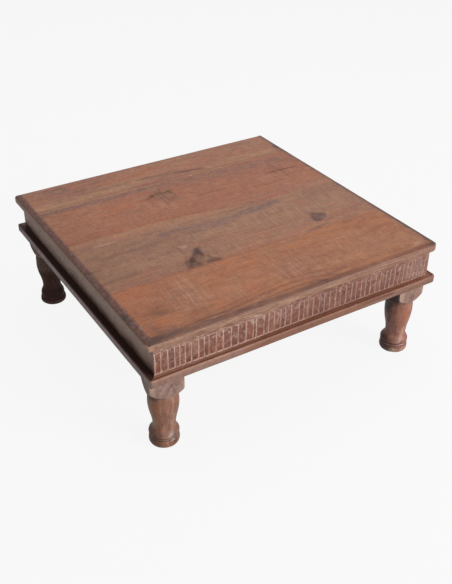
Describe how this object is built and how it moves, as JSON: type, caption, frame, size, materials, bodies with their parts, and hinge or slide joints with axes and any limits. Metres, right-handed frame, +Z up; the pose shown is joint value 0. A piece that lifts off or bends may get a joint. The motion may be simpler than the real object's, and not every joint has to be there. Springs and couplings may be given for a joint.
{
  "type": "low table",
  "caption": "Low square wooden table: plank top on a shallow box frieze with carved flutes on its front, a nosed base moulding and short turned legs.",
  "frame": {"origin": "on the floor under the middle of the table, at the centre of its outline over the base moulding", "axes": "+X to the right along the carved front, +Y from the front to the back, +Z up"},
  "size_m": [0.607, 0.606, 0.2453],
  "materials": {
    "top_wood": "satin waxed, worn edges",
    "frieze_wood": "satin, lime traces in the grooves",
    "moulding_wood": "satin, rubbed arris",
    "leg_wood": "satin, turned",
    "underside_wood": "rough sawn, unfinished",
    "dowel_wood": "plain",
    "screw_steel": "dulled",
    "nail_iron": "dark, slightly rusted"
  },
  "bodies": {
    "root": {"top_board_back": "top_wood", "top_board_mid_back": "top_wood", "top_board_mid_front": "top_wood", "top_board_front": "top_wood", "frieze_front": "frieze_wood", "frieze_right": "frieze_wood", "frieze_back": "frieze_wood", "frieze_left": "frieze_wood", "base_moulding_front": "moulding_wood", "base_moulding_right": "moulding_wood", "base_moulding_back": "moulding_wood", "base_moulding_left": "moulding_wood", "leg_front_left": "leg_wood", "leg_front_right": "leg_wood", "leg_back_left": "leg_wood", "leg_back_right": "leg_wood", "cleat_front": "underside_wood", "cleat_back": "underside_wood", "cleat_left": "underside_wood", "cleat_right": "underside_wood", "batten_left": "underside_wood", "batten_right": "underside_wood", "top_dowels": "dowel_wood", "batten_screws": "screw_steel", "cleat_screws": "screw_steel", "base_nails": "nail_iron"}
  },
  "joints": []
}
